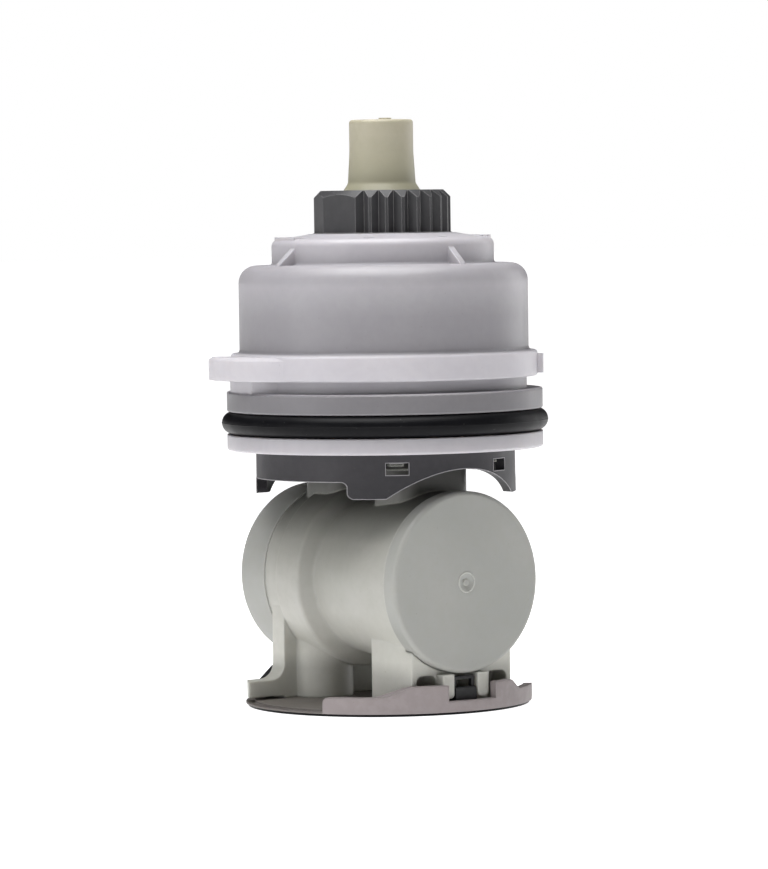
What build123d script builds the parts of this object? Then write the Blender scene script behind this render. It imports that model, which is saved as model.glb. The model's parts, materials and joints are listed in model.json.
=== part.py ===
from build123d import *
import os

# Pressure-balancing shower valve cartridge, in millimetres.
# +Z is the stem axis and Z = 0 is the underside. The balance barrel lies along Y.
# Bearings are degrees about the stem axis, from -Y (the near cap) towards +X.

# ---- clearances ----
turn_gap = 0.05          # radial gap of a part that turns in a bore
seat_gap = 0.1           # gap of a part that is dropped into a seat
face_gap = 0.02          # gap between two lapped or stacked faces
stack_gap = 0.1          # end float of a stacked part

# ---- stem ----
stem_top = 91.4
post_radius = 5.0
post_root_radius = 5.3
post_straight = 5.0
post_flat_depth = 0.9
journal_radius = 6.0
stem_flare_height = 1.1
stem_shoulder_radius = 7.6
stem_shoulder_height = 2.8
tongue_width = 3.0
tongue_depth = 2.0
tongue_radius = 6.3
stem_nub_radius = 1.0
stem_nub_height = 0.3
stem_nub_offset = 0.8
stem_ring_section = 0.56
stem_ring_levels = (66.0, 70.0)

# ---- toothed temperature sleeve ----
gear_radius = 10.7
gear_bottom = 73.8
gear_top = 80.4
gear_chamfer = 1.1
gear_pitches = 26
groove_count = 21
groove_depth = 1.2
land_width = 0.35
first_land_bearing = -61.0
sleeve_radius = 10.85
sleeve_ring_section = 0.8
sleeve_ring_level = 68.0
sleeve_flange_radius = 15.4
sleeve_flange_height = 2.4
skirt_wall = 1.8
lug_width = 4.0
lug_drop = 3.0
stop_lug_radius = 17.2
stop_lug_half_angle = 6.0
temperature_travel = 55.0

# ---- bonnet ----
bonnet_top = 73.5
tier_radius = 17.4
tier_bottom = 68.9
body_radius = 22.65
shoulder_round = 2.75
flange_top = 55.2
flange_bottom = 51.2
flange_radius = 24.0
neck_radius = 22.3
land_top = 49.3
land_radius = 24.75
bonnet_bottom = 40.1
bonnet_bore = 19.7
bonnet_wall = 3.0
boss_wall = 2.3
boss_bottom = 62.0
key_radius = 27.7
key_middle_radius = 26.6
key_start = -118.0
key_middle = -100.0
key_end = -76.0
web_start = -116.0
web_shoulder = -94.0
web_end = -84.0
point_radius = 24.95
point_start = 47.0
point_end = 60.0
pad_height = 0.35
pad_inner_radius = 13.4
gusset_reach = 3.1
gusset_width = 1.1
snap_depth = 0.3
snap_level = 46.5
washer_thickness = 0.6

# ---- body O-ring ----
body_ring_section = 1.72
body_ring_radius = 23.85
body_ring_level = 44.4
groove_gap = 0.06

# ---- ceramic discs and port plate ----
plate_top = 43.5
rim_height = 3.6
rim_inner_radius = 17.0
port_gasket_thickness = 1.0
port_gasket_radius = 15.6
fixed_disc_thickness = 4.5
turning_disc_thickness = 4.0
temperature_disc_radius = 15.5
flow_disc_radius = 6.8
kidney_inner = 7.7
kidney_outer = 12.2
kidney_half_angle = 35.0
mixing_half_angle = 75.0
outlet_inner = 2.4
outlet_outer = 5.6
outlet_half_angle = 40.0
disc_key_width = 3.0
disc_key_depth = 1.0
plug_ring_section = 0.95
plug_ring_level = 42.2

# ---- dark collar ----
collar_radius = 20.3
collar_wall = 1.6
collar_side_bottom = 35.8
collar_lobe_bottom = 33.2
collar_arch_top = 37.5
arch_half_width = 12.2
lobe_end = 54.0
lobe_round = 0.9
window_width = 3.6
window_bottom = 36.8
window_top = 38.7
window_bearings = (-32.0, 23.0)

# ---- balance barrel ----
barrel_axis = 20.0
barrel_bore = 9.0
barrel_radius = 12.9
ring_radius = 14.5
ring_inner_end = 3.6
ring_outer_end = 10.0
flare_start = -2.5
flare_end = -10.5
valley_depth = 0.7
cap_step = 0.2
near_barrel_end = 17.4
far_barrel_end = 13.7
cap_radius = 14.0
cap_face = 20.25
cap_edge_round = 0.7
cap_wall = 2.2
cap_plug_end = 11.2
cap_plug_cavity = 5.0
cap_ring_section = 0.88
cap_dimple_radius = 1.5
cap_dimple_depth = 0.35
cap_pip_radius = 0.5

# ---- balance liner and spool ----
liner_length = 22.0
liner_bore = 6.0
liner_ring_section = 0.68
liner_ring_place = 10.2
port_width = 5.0
port_start = 5.2
port_end = 9.0
spool_length = 18.0
spool_waist = 4.0
spool_centre_land = 4.4
spool_end_land = 2.2
spool_bore = 2.5

# ---- barrel neck ----
tower_place = 9.6
tower_bore = 2.6
tower_half_width = 6.8
tower_inner_end = 4.2
tower_outer_end = 13.6
tower_round = 2.8
neck_flange_thickness = 1.6
neck_gasket_thickness = 1.1
neck_gasket_radius = 14.5
neck_flange_setback = 2.2
hook_width = 2.2
hook_height = 0.5
hook_reach = 0.5

# ---- feet ----
foot_bottom = 0.9
far_foot_half_width = 13.0
near_foot_half_width = 10.7
foot_inner = 9.9
foot_outer = 13.0
tab_bottom = 1.35
tab_top = 3.9
tab_setback = 0.2
tab_fillet = 2.5
riser_radius = 5.0
inlet_place = 10.2
inlet_offset = 5.6
inlet_bore = 3.2
inlet_top = 10.5
inlet_seal_wall = 1.2
inlet_seal_top = 3.2
apron_half_width = 9.6
arch_window_inner = 5.0
arch_window_outer = 8.7
arch_window_top = 5.9
arch_window_back = 15.3
latch_offset = -0.5
prong_outer = 4.4
prong_inner = 2.3
prong_setback = 0.7
prong_depth = 1.8
prong_bottom = 2.3
prong_top = 6.0
prong_round = 0.7

# ---- base ----
seal_thickness = 0.4
seal_setback = 0.4
base_radius = 22.45
wall_thickness = 1.3
wall_left_angle = 64.0
wall_right_angle = 52.0
wall_height = 2.9
wall_raised_height = 4.5
raised_left_angle = 28.0
raised_right_angle = 21.0
left_ramp_angle = 12.0
right_ramp_angle = 6.0
notch_half_width = 4.5
notch_bottom = 2.0
step_setback = 1.4
step_height = 0.25
latch_half_width = 2.0
latch_top = 5.6
brace_half_width = 14.4
brace_top_half_width = 10.4
brace_top = 5.4
brace_thickness = 4.0

# ---- worked-out values ----
land_pitch = 360 / gear_pitches
sleeve_bore = journal_radius + turn_gap
boss_bore = sleeve_radius + turn_gap
fixed_disc_bottom = plate_top + port_gasket_thickness
fixed_disc_top = fixed_disc_bottom + fixed_disc_thickness
turning_disc_bottom = fixed_disc_top + face_gap
turning_disc_top = turning_disc_bottom + turning_disc_thickness
fixed_disc_radius = rim_inner_radius - seat_gap
ring_disc_bore = flow_disc_radius + 0.1
washer_bottom = boss_bottom - washer_thickness
sleeve_flange_top = washer_bottom - turn_gap
sleeve_flange_bottom = sleeve_flange_top - sleeve_flange_height
skirt_bottom = turning_disc_top + 2 * stack_gap
shoulder_top = sleeve_flange_bottom - stack_gap
shoulder_bottom = shoulder_top - stem_shoulder_height
ceiling = tier_bottom - bonnet_wall
tier_bore = tier_radius - bonnet_wall
tier_ceiling = bonnet_top - 2.6
plate_bottom = bonnet_bottom
plug_radius = bonnet_bore - seat_gap
neck_top = plate_bottom - neck_gasket_thickness
neck_flange_radius = collar_radius - collar_wall - neck_flange_setback
hook_tip_radius = collar_radius - collar_wall + hook_reach
barrel_top = barrel_axis + barrel_radius
liner_radius = barrel_bore - seat_gap
cap_plug_radius = barrel_bore - seat_gap
spool_radius = liner_bore - turn_gap
base_floor = foot_bottom
inlet_seal_radius = inlet_bore + inlet_seal_wall
wall_inner_radius = base_radius - wall_thickness
boss_radius = boss_bore + boss_wall
seal_radius = base_radius - seal_setback
step_radius = base_radius - step_setback
tab_radius = base_radius - tab_setback
prong_front = wall_inner_radius - prong_setback
apron_front = prong_front - prong_depth
end_barrel_radius = cap_radius - cap_step
foot_top = barrel_axis - barrel_bore + 1


# ---- helpers ----
def profile(corners):
    # A closed outline from (radius, level) or (radius, level, rounding) corners.
    points = [(corner[0], corner[1]) for corner in corners]
    rounds = [corner[2] if len(corner) > 2 else 0 for corner in corners]
    outline = FilletPolyline(*points, radius=rounds, close=True)
    return make_face(outline)


def turned(corners):
    return revolve(Plane.XZ * profile(corners), Axis.Z)


def along_barrel(shape):
    # Lays a shape made about Z along the barrel: its Z becomes Y.
    return Pos(0, 0, barrel_axis) * Rot(-90, 0, 0) * shape


def rod(radius, low, high, x=0, y=0):
    round_bar = Cylinder(radius, high - low, align=(Align.CENTER, Align.CENTER, Align.MIN))
    return Pos(x, y, low) * round_bar


def tube(outer, inner, low, high, x=0, y=0):
    return rod(outer, low, high, x, y) - rod(inner, low - 1, high + 1, x, y)


def block(x0, x1, y0, y1, z0, z1):
    centre = Pos((x0 + x1) / 2, (y0 + y1) / 2, (z0 + z1) / 2)
    return centre * Box(x1 - x0, y1 - y0, z1 - z0)


def sector(inner, outer, start, end, low, high):
    # A piece of a flat ring between two bearings.
    outer_arc = CenterArc((0, 0), outer, start - 90, end - start)
    inner_arc = CenterArc((0, 0), inner, start - 90, end - start)
    first = Line(inner_arc @ 0, outer_arc @ 0)
    last = Line(inner_arc @ 1, outer_arc @ 1)
    face = make_face([outer_arc, first, inner_arc, last])
    return Pos(0, 0, low) * extrude(face, high - low, dir=(0, 0, 1))


def o_ring(radius, section, level):
    return Pos(0, 0, level) * Torus(radius, section)


def seal_groove(outer, ring_radius_centre, section, level):
    # The groove that an O-ring sits in, cut from the outside.
    half = section + groove_gap
    floor = ring_radius_centre - half
    return tube(outer + 1, floor, level - half, level + half)


def prism_y(corners, y0, y1):
    # An outline of (x, z) points pushed from y0 to y1.
    face = make_face(Polyline(*corners, close=True))
    return Pos(0, y0, 0) * extrude(Plane.XZ * face, y1 - y0, dir=(0, 1, 0))


# ---- stem and sleeve ----
def flow_stem():
    flare_top = gear_top + stem_flare_height
    corners = [
        (0, shoulder_bottom - tongue_depth),
        (0, stem_top),
        (post_radius, stem_top, 0.5),
        (post_radius, stem_top - post_straight),
        (post_root_radius, flare_top, 1.0),
        (journal_radius, gear_top),
        (journal_radius, shoulder_top),
        (stem_shoulder_radius, shoulder_top),
        (stem_shoulder_radius, shoulder_bottom),
        (tongue_radius, shoulder_bottom),
        (tongue_radius, shoulder_bottom - tongue_depth),
    ]
    body = turned(corners)
    driver = rod(tongue_radius, turning_disc_top + stack_gap, shoulder_bottom)
    tongue_bottom = turning_disc_top - tongue_depth + stack_gap
    half = tongue_width / 2 - seat_gap
    tongue = block(-tongue_radius, tongue_radius, -half, half, tongue_bottom, shoulder_bottom)
    body += driver + (tongue & rod(tongue_radius, tongue_bottom, shoulder_bottom))
    for level in stem_ring_levels:
        body -= seal_groove(journal_radius, stem_ring_centre(), stem_ring_section, level)
    flat_at = post_radius - post_flat_depth
    body -= block(-8, 8, flat_at, 8, gear_top + 2, stem_top + 1)
    body += rod(stem_nub_radius, stem_top, stem_top + stem_nub_height, stem_nub_offset, 0)
    return body


def stem_ring_centre():
    return journal_radius + turn_gap - face_gap - stem_ring_section


def stem_o_rings():
    return [o_ring(stem_ring_centre(), stem_ring_section, level) for level in stem_ring_levels]


def gear():
    corners = [
        (0, gear_bottom),
        (0, gear_top),
        (gear_radius - gear_chamfer, gear_top),
        (gear_radius, gear_top - gear_chamfer),
        (gear_radius, gear_bottom),
    ]
    body = turned(corners)
    height = gear_top - gear_bottom
    half_mouth = (gear_radius * radians_of(land_pitch) - land_width) / 2
    slope = half_mouth / groove_depth
    mouth = gear_radius + 1
    root = gear_radius - groove_depth
    wide = slope * (mouth - root)
    vee = make_face(Polyline((0, -root), (wide, -mouth), (-wide, -mouth), close=True))
    cutter = Pos(0, 0, gear_bottom - 1) * extrude(vee, height + 2, dir=(0, 0, 1))
    for index in range(groove_count):
        bearing = first_land_bearing + land_pitch * (index + 0.5)
        body -= Rot(0, 0, bearing) * cutter
    return body - gear_facets()


def gear_facets():
    # The untoothed part is two flats instead of a round.
    facet_angle = land_pitch * (gear_pitches - groove_count) / 2
    flat_at = gear_radius * cos_of(facet_angle / 2)
    flats = []
    for index in range(2):
        bearing = first_land_bearing - facet_angle * (index + 0.5)
        cutter = block(-6, 6, -gear_radius - 2, -flat_at, gear_bottom - 1, gear_top + 1)
        flats.append(Rot(0, 0, bearing) * cutter)
    return flats[0] + flats[1]


def temperature_sleeve():
    skirt_inner = sleeve_flange_radius - skirt_wall
    body = gear()
    body += rod(sleeve_radius, sleeve_flange_bottom, gear_bottom)
    body += rod(sleeve_flange_radius, sleeve_flange_bottom, sleeve_flange_top)
    body += tube(sleeve_flange_radius, skirt_inner, skirt_bottom, sleeve_flange_bottom)
    half_lug = lug_width / 2 - seat_gap
    ring = tube(sleeve_flange_radius, skirt_inner, skirt_bottom - lug_drop, skirt_bottom + 1)
    lugs = ring & block(-half_lug, half_lug, -20, 20, skirt_bottom - lug_drop, skirt_bottom + 1)
    body += lugs
    start = 90 - stop_lug_half_angle
    end = 90 + stop_lug_half_angle
    body += sector(
        sleeve_flange_radius - 1, stop_lug_radius, start, end, sleeve_flange_bottom, sleeve_flange_top
    )
    body -= rod(sleeve_bore, sleeve_flange_bottom - 1, gear_top + 1)
    body -= seal_groove(sleeve_radius, sleeve_ring_centre(), sleeve_ring_section, sleeve_ring_level)
    return body


def sleeve_ring_centre():
    return sleeve_radius + turn_gap - face_gap - sleeve_ring_section


def sleeve_o_ring():
    return o_ring(sleeve_ring_centre(), sleeve_ring_section, sleeve_ring_level)


def thrust_washer():
    return tube(boss_radius - 0.1, boss_bore + 0.1, washer_bottom, boss_bottom)


# ---- bonnet ----
def bonnet():
    body = bonnet_outside()
    body += pads()
    body += gussets()
    body += key_ears()
    body -= bonnet_inside()
    body += tube(boss_radius, boss_bore, boss_bottom, tier_ceiling + 0.5)
    body -= rod(boss_bore, boss_bottom - 1, bonnet_top + 2)
    body += stop_ribs()
    return body


def bonnet_outside():
    ring_floor = body_ring_radius - body_ring_section - groove_gap
    groove_low = body_ring_level - body_ring_section - groove_gap
    groove_high = body_ring_level + body_ring_section + groove_gap
    return turned([
        (0, bonnet_bottom),
        (0, bonnet_top + 0.2),
        (gear_radius + 0.8, bonnet_top + 0.2),
        (gear_radius + 1.6, bonnet_top),
        (tier_radius - 1.6, bonnet_top - 0.45),
        (tier_radius, bonnet_top - 0.7, 1.2),
        (tier_radius, tier_bottom, 0.5),
        (body_radius, tier_bottom, shoulder_round),
        (body_radius, flange_top, 0.6),
        (flange_radius, flange_top, 0.4),
        (flange_radius, flange_bottom, 0.3),
        (neck_radius, flange_bottom),
        (neck_radius, land_top),
        (land_radius, land_top, 0.3),
        (land_radius, groove_high, 0.2),
        (ring_floor, groove_high),
        (ring_floor, groove_low),
        (land_radius, groove_low, 0.2),
        (land_radius, bonnet_bottom, 0.4),
    ])


def bonnet_inside():
    hollow = rod(bonnet_bore, bonnet_bottom - 1, ceiling)
    hollow += rod(tier_bore, ceiling - 1, tier_ceiling)
    snap_groove = bonnet_bore + snap_depth + 0.15
    hollow += rod(snap_groove, snap_level - 0.65, snap_level + 0.65)
    return hollow


def pads():
    # Two raised pads on the tier, opposite each other.
    high = bonnet_top - 0.6 + pad_height
    first = sector(pad_inner_radius, tier_radius - 0.5, 53, 89, tier_bottom + 1, high)
    second = Rot(0, 0, 180) * first
    return first + second


def gussets():
    low = tier_bottom - 0.5
    foot = tier_radius + gusset_reach
    outline = [(tier_radius - 1, low), (foot, low), (foot, tier_bottom), (tier_radius - 1, bonnet_top - 1.1)]
    half = gusset_width / 2
    web = prism_y(outline, -half, half)
    group = web
    for index in range(1, 4):
        group += Rot(0, 0, 90 * index) * web
    return group


def around(radius, bearing):
    # A point in plan at this radius and bearing.
    return (radius * sin_of(bearing), -radius * cos_of(bearing))


def tapered_ear():
    # A key that runs out into the flange instead of ending square.
    inner = body_radius - 1
    tip = around(key_radius, key_start)
    middle = around(key_middle_radius, key_middle)
    tail = around(flange_radius - 0.1, key_end)
    inner_tail = around(inner, key_end)
    inner_tip = around(inner, key_start)
    face = make_face([
        ThreePointArc(tip, middle, tail),
        Line(tail, inner_tail),
        ThreePointArc(inner_tail, around(inner, key_middle), inner_tip),
        Line(inner_tip, tip),
    ])
    height = flange_top - 0.35 - flange_bottom
    ear = Pos(0, 0, flange_bottom) * extrude(face, height, dir=(0, 0, 1))
    return chamfer(ear.edges().group_by(Axis.Z)[-1], 0.5)


def tapered_web():
    # Fills the neck under the key and slopes away at its front end.
    outer = flange_radius + 0.5
    inner = neck_radius - 1
    wall = sector(inner, outer, web_start, web_shoulder, land_top - 0.5, flange_bottom + 0.5)
    face = make_face(Polyline(
        around(inner, web_shoulder - 1), around(outer, web_shoulder - 1), around(outer, web_shoulder),
        around(neck_radius - 0.1, web_end), around(inner, web_end), close=True
    ))
    height = flange_bottom - land_top + 1
    return wall + Pos(0, 0, land_top - 0.5) * extrude(face, height, dir=(0, 0, 1))


def key_ears():
    inner = body_radius - 1
    point = sector(inner, point_radius, point_start, point_end, flange_bottom + 0.4, flange_top - 0.7)
    return tapered_ear() + tapered_web() + point


def stop_ribs():
    # The sleeve's stop lug turns between these two ribs.
    half = 4.5
    centre = temperature_travel + stop_lug_half_angle + half + 0.5
    low = sleeve_flange_bottom - 0.5
    inner = sleeve_flange_radius + 0.8
    group = None
    for bearing in (90 - centre, 90 + centre):
        rib = sector(inner, bonnet_bore + 0.5, bearing - half, bearing + half, low, ceiling + 0.5)
        group = rib if group is None else group + rib
    return group


def body_o_ring():
    return o_ring(body_ring_radius, body_ring_section, body_ring_level)


# ---- discs and seals ----
def kidneys(low, high):
    # The hot port is over +Y and the cold port over -Y.
    group = None
    for bearing in (0, 180):
        start = bearing - kidney_half_angle
        end = bearing + kidney_half_angle
        port = sector(kidney_inner, kidney_outer, start, end, low, high)
        group = port if group is None else group + port
    return group


def outlet_sectors(low, high, bearing):
    group = None
    for middle in (bearing, bearing + 180):
        start = middle - outlet_half_angle
        end = middle + outlet_half_angle
        port = sector(outlet_inner, outlet_outer, start, end, low, high)
        group = port if group is None else group + port
    return group


def disc_keys(radius, depth, gap, low, high):
    # Two keys at +X and -X, from the given radius inwards.
    half = disc_key_width / 2 + gap
    slab = block(-radius - 1, radius + 1, -half, half, low, high)
    return slab - rod(radius - depth - gap, low - 1, high + 1)


def fixed_disc():
    low = fixed_disc_bottom
    high = fixed_disc_top
    body = rod(fixed_disc_radius, low, high)
    body -= disc_keys(rim_inner_radius, disc_key_depth, seat_gap, low - 1, high + 1)
    body -= kidneys(low - 1, high + 1)
    return body - outlet_sectors(low - 1, high + 1, 90)


def temperature_disc():
    low = turning_disc_bottom
    high = turning_disc_top
    body = tube(temperature_disc_radius, ring_disc_bore, low, high)
    start = 90 - mixing_half_angle
    end = 90 + mixing_half_angle
    body -= sector(kidney_inner + 0.3, kidney_outer, start, end, low - 1, high + 1)
    notch_inner = sleeve_flange_radius - skirt_wall - 3 * seat_gap
    half = lug_width / 2
    notch = block(-half, half, notch_inner, 20, high - lug_drop, high + 1)
    body -= notch
    return body - Rot(0, 0, 180) * notch


def flow_disc():
    low = turning_disc_bottom
    high = turning_disc_top
    body = rod(flow_disc_radius, low, high)
    body -= outlet_sectors(low - 1, high + 1, 0)
    half = tongue_width / 2
    return body - block(-10, 10, -half, half, high - tongue_depth, high + 1)


def port_gasket():
    body = rod(port_gasket_radius, plate_top, fixed_disc_bottom)
    body -= kidneys(plate_top - 1, fixed_disc_bottom + 1)
    return body - rod(outlet_outer, plate_top - 1, fixed_disc_bottom + 1)


def plug_ring_centre():
    return bonnet_bore - face_gap - plug_ring_section


def plug_o_ring():
    return o_ring(plug_ring_centre(), plug_ring_section, plug_ring_level)


def neck_gasket():
    body = rod(neck_gasket_radius, neck_top, plate_bottom)
    body -= rod(outlet_outer, neck_top - 1, plate_bottom + 1)
    for side in (-1, 1):
        body -= rod(tower_bore, neck_top - 1, plate_bottom + 1, 0, side * tower_place)
    return body


# ---- dark collar ----
def lower_collar():
    body = rod(plug_radius, plate_bottom, plate_top + rim_height)
    body -= rod(rim_inner_radius, plate_top, plate_top + rim_height + 1)
    body += turned([
        (rim_inner_radius, snap_level - 0.5),
        (rim_inner_radius, snap_level + 0.5),
        (plug_radius, snap_level + 0.5),
        (bonnet_bore + snap_depth, snap_level),
        (plug_radius, snap_level - 0.5),
    ])
    keys = disc_keys(rim_inner_radius, disc_key_depth, 0, fixed_disc_bottom, fixed_disc_top - 1.5)
    body += keys & rod(rim_inner_radius + 0.5, fixed_disc_bottom, fixed_disc_top)
    body -= seal_groove(plug_radius, plug_ring_centre(), plug_ring_section, plug_ring_level)
    body += collar_skirt()
    for side in (-1, 1):
        body -= rod(tower_bore, plate_bottom - 1, plate_top + 1, 0, side * tower_place)
    return body - rod(outlet_outer, plate_bottom - 1, plate_top + 1)


def collar_skirt():
    inner = collar_radius - collar_wall
    skirt = tube(collar_radius, inner, collar_lobe_bottom, plate_bottom)
    skirt = skirt - (side_cuts() & wide_band(inner)) - arch_cuts()
    for bearing in window_bearings:
        for turn in (0, 180):
            half = window_width / 2
            window = block(-half, half, -collar_radius - 1, -inner + 1, window_bottom, window_top)
            skirt -= Rot(0, 0, bearing + turn) * window
    return skirt


def wide_band(inner):
    # The two sides of the skirt, where it is far from the arches.
    gap = inner * sin_of(lobe_end) * 0.8
    band = rod(collar_radius + 3, collar_lobe_bottom - 2, plate_bottom)
    return band - block(-gap, gap, -30, 30, collar_lobe_bottom - 3, plate_bottom + 1)


def side_cuts():
    # Between the lobes the wall ends higher up, at +X and -X, with a soft S at each end.
    reach = collar_radius * cos_of(lobe_end)
    low = collar_lobe_bottom - 1
    outline = FilletPolyline(
        (-reach - 3, low), (-reach - 3, collar_lobe_bottom), (-reach, collar_lobe_bottom),
        (-reach, collar_side_bottom), (reach, collar_side_bottom), (reach, collar_lobe_bottom),
        (reach + 3, collar_lobe_bottom), (reach + 3, low),
        radius=[0, 0, lobe_round, lobe_round, lobe_round, lobe_round, 0, 0],
        close=True,
    )
    across = collar_radius + 2
    return Pos(-across, 0, 0) * extrude(Plane.YZ * make_face(outline), 2 * across, dir=(1, 0, 0))


def arch_cuts():
    # A long arch over each cap: a flat arc through the lobe ends and the arch top.
    low = collar_lobe_bottom - 1
    arc = ThreePointArc(
        (-arch_half_width, collar_lobe_bottom), (0, collar_arch_top), (arch_half_width, collar_lobe_bottom)
    )
    left = Line((-arch_half_width, low), arc @ 0)
    right = Line(arc @ 1, (arch_half_width, low))
    bottom = Line((arch_half_width, low), (-arch_half_width, low))
    face = make_face([left, arc, right, bottom])
    reach = collar_radius + 2
    return Pos(0, -reach, 0) * extrude(Plane.XZ * face, 2 * reach, dir=(0, 1, 0))


# ---- balance barrel ----
def barrel_outside():
    # A raised ring stands at the far end, and the near end flares out to meet its cap.
    return turned([
        (0, -near_barrel_end),
        (end_barrel_radius, -near_barrel_end, 0.15),
        (end_barrel_radius, flare_end, 6.0),
        (barrel_radius, flare_start, 6.0),
        (barrel_radius - valley_depth, ring_inner_end - 0.9, 0.5),
        (ring_radius, ring_inner_end + 0.5, 0.8),
        (ring_radius, ring_outer_end, 0.3),
        (end_barrel_radius, ring_outer_end, 0.2),
        (end_barrel_radius, far_barrel_end),
        (0, far_barrel_end),
    ])


def balance_housing():
    body = along_barrel(barrel_outside())
    body += far_foot()
    body += near_foot()
    body += neck()
    body -= along_barrel(rod(barrel_bore, -near_barrel_end - 1, far_barrel_end + 1))
    body -= cap_space()
    for side in (-1, 1):
        body -= water_ways(side)
    body += hooks()
    body += prongs()
    return body


def inlet_x(side):
    # The two inlets stand on opposite sides of the barrel's line.
    return -side * inlet_offset


def far_foot():
    # A plate under the barrel with the far inlet's riser and a pair of tabs.
    plate = block(
        -far_foot_half_width, far_foot_half_width, foot_inner, foot_outer, foot_bottom, barrel_axis
    )
    return plate + riser(1) + foot_tabs()


def riser(side):
    return rod(riser_radius, foot_bottom, foot_top, inlet_x(side), side * inlet_place)


def foot_tabs():
    corner = far_foot_half_width + tab_fillet
    reach = tab_radius
    root = far_foot_half_width - 1
    arc = CenterArc((corner, tab_top + tab_fillet), tab_fillet, 180, 90)
    face = make_face([
        Line((root, tab_bottom), (root, tab_top + tab_fillet)),
        Line((root, tab_top + tab_fillet), arc @ 0),
        arc,
        Line(arc @ 1, (reach, tab_top)),
        Line((reach, tab_top), (reach, tab_bottom)),
        Line((reach, tab_bottom), (root, tab_bottom)),
    ])
    tab = Pos(0, foot_inner, 0) * extrude(Plane.XZ * face, foot_outer - foot_inner, dir=(0, 1, 0))
    both = tab + mirror(tab, Plane.YZ)
    return both & rod(reach, 0, tab_top + tab_fillet + 1)


def near_foot():
    # One block under the barrel's end and the cap, with an arch window on each side of the latch.
    outline = Polyline(
        (near_foot_half_width, -foot_inner),
        (near_foot_half_width, -foot_outer),
        (apron_half_width, -apron_front),
        (-apron_half_width, -apron_front),
        (-near_foot_half_width, -foot_outer),
        (-near_foot_half_width, -foot_inner),
        close=True,
    )
    foot = Pos(0, 0, foot_bottom) * extrude(make_face(outline), foot_top - foot_bottom, dir=(0, 0, 1))
    foot += riser(-1)
    front = -apron_front - 1
    for side in (-1, 1):
        x0 = min(side * arch_window_inner, side * arch_window_outer)
        x1 = max(side * arch_window_inner, side * arch_window_outer)
        window = block(x0, x1, front, -arch_window_back, foot_bottom - 1, arch_window_top)
        foot -= fillet(window.edges().filter_by(Axis.Y).group_by(Axis.Z)[-1], 0.9)
    x0 = latch_offset - prong_inner
    x1 = latch_offset + prong_inner
    return foot - block(x0, x1, front, -arch_window_back, foot_bottom - 1, prong_top)


def prongs():
    # Two legs hold the latch of the base between them.
    group = None
    for side in (-1, 1):
        x0 = latch_offset + min(side * prong_inner, side * prong_outer)
        x1 = latch_offset + max(side * prong_inner, side * prong_outer)
        leg = block(x0, x1, -prong_front, -prong_front + prong_depth, prong_bottom, prong_top)
        leg = fillet(leg.edges().filter_by(Axis.Y).group_by(Axis.Z)[0], prong_round)
        arm = block(x0, x1, -prong_front + 0.5, -apron_front + 1, 4.0, prong_top)
        group = leg + arm if group is None else group + leg + arm
    return group


def cap_space():
    # Keeps the feet clear of both caps.
    near = rod(cap_radius + seat_gap, -cap_face - 1, -near_barrel_end)
    far = rod(cap_radius + seat_gap, far_barrel_end, cap_face + 1)
    return along_barrel(near + far)


def neck():
    # Two towers join the barrel to the flange under the collar; the outlet leaves between them.
    low = barrel_axis + barrel_bore
    group = rod(neck_flange_radius, neck_top - neck_flange_thickness, neck_top)
    for side in (-1, 1):
        y0 = min(side * tower_inner_end, side * tower_outer_end)
        y1 = max(side * tower_inner_end, side * tower_outer_end)
        tower = block(-tower_half_width, tower_half_width, y0, y1, low, neck_top)
        group += fillet(tower.edges().filter_by(Axis.Z), tower_round)
    return group - rod(outlet_outer, barrel_top + 0.5, neck_top + 1)


def hooks():
    # Each hook reaches from the flange into the top of a collar window.
    top = window_top - seat_gap
    group = None
    for bearing in window_bearings:
        for turn in (0, 180):
            hook = block(
                -hook_width / 2, hook_width / 2, -hook_tip_radius, -neck_flange_radius + 1,
                top - hook_height, top
            )
            hook = Rot(0, 0, bearing + turn) * hook
            group = hook if group is None else group + hook
    return group


def water_ways(side):
    # Inlet from below and outlet to above, each joined to the bore by a slot.
    half = port_width / 2
    y0 = min(side * port_start, side * (port_end + 0.6))
    y1 = max(side * port_start, side * (port_end + 0.6))
    x = inlet_x(side)
    y = side * inlet_place
    inlet = rod(inlet_bore, foot_bottom - 1, inlet_top, x, y)
    inlet += rod(inlet_seal_radius + face_gap, foot_bottom - 1, inlet_seal_top, x, y)
    x0 = min(-half, x)
    x1 = max(half, x)
    inlet += block(x0, x1, y0, y1, barrel_axis - barrel_bore - 2.5, barrel_axis - barrel_bore + 1)
    outlet_low = barrel_axis + barrel_bore + 1.5
    outlet = rod(tower_bore, outlet_low, neck_top + 1, 0, side * tower_place)
    outlet += block(-half, half, y0, y1, barrel_axis + barrel_bore - 1, outlet_low + 1)
    return inlet + outlet


def end_cap(barrel_end):
    # A cap with its face at the top, made about Z.
    plug_top = barrel_end
    groove_level = (cap_plug_end + barrel_end) / 2
    body = turned([
        (0, plug_top),
        (cap_radius, plug_top, 0.2),
        (cap_radius, cap_face, cap_edge_round),
        (0, cap_face),
    ])
    body += rod(cap_plug_radius, cap_plug_end, plug_top)
    body -= rod(cap_plug_cavity, cap_plug_end - 1, cap_face - cap_wall)
    half = cap_ring_section + groove_gap
    body -= tube(cap_plug_radius + 1, cap_ring_centre() - half, groove_level - half, groove_level + half)
    ball_radius = 1.5 * cap_dimple_radius
    body -= Pos(0, 0, cap_face + ball_radius - cap_dimple_depth) * Sphere(ball_radius)
    pip = rod(cap_pip_radius, cap_face - cap_wall / 2, cap_face - cap_dimple_depth / 3)
    return body + pip


def near_end_cap():
    return along_barrel(Rot(180, 0, 0) * end_cap(near_barrel_end))


def far_end_cap():
    return along_barrel(end_cap(far_barrel_end))


def cap_ring_centre():
    return barrel_bore - face_gap - cap_ring_section


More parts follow.
